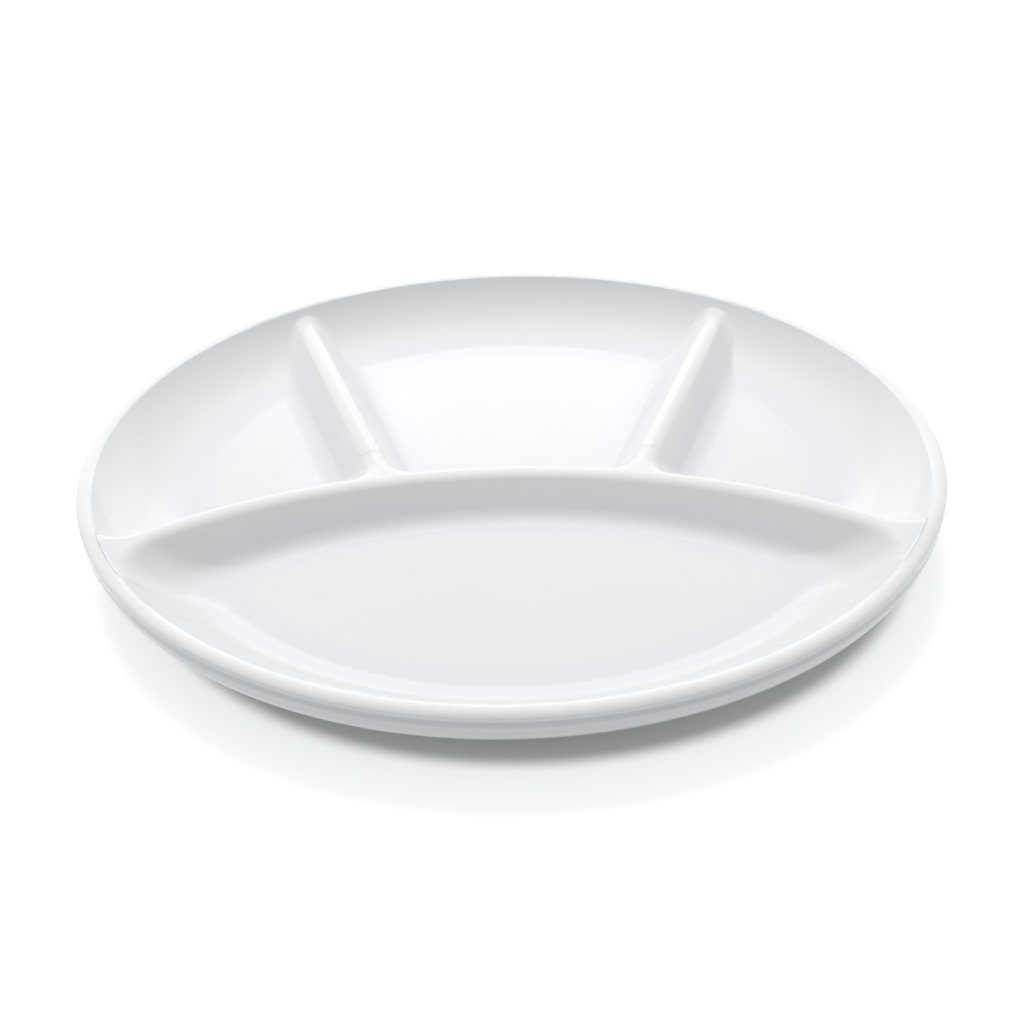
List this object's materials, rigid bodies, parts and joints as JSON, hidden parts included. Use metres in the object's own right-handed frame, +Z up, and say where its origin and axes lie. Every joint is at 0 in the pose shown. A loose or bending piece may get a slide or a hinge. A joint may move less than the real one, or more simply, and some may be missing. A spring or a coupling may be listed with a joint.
{
  "type": "divided compartment plate",
  "caption": "Round white glazed plate with low dividers: a large half-moon well in front of smaller wells behind, a rounded lip and a foot ring.",
  "frame": {"origin": "on the table under the middle of the plate, at the centre of the foot ring", "axes": "+Z up out of the wells, the large front well toward -Y, the three smaller wells toward +Y, +X to the right"},
  "size_m": [0.25, 0.25, 0.0235],
  "materials": {
    "white_glaze": "gloss white glaze over a white body",
    "bare_foot": "bare fired body, matt, wiped clean of glaze"
  },
  "bodies": {
    "root": {"foot_ring": "bare_foot", "base_disc": "white_glaze", "side_wall": "white_glaze", "rim_bead": "white_glaze", "cross_divider": "white_glaze", "left_divider": "white_glaze", "right_divider": "white_glaze"}
  },
  "joints": []
}
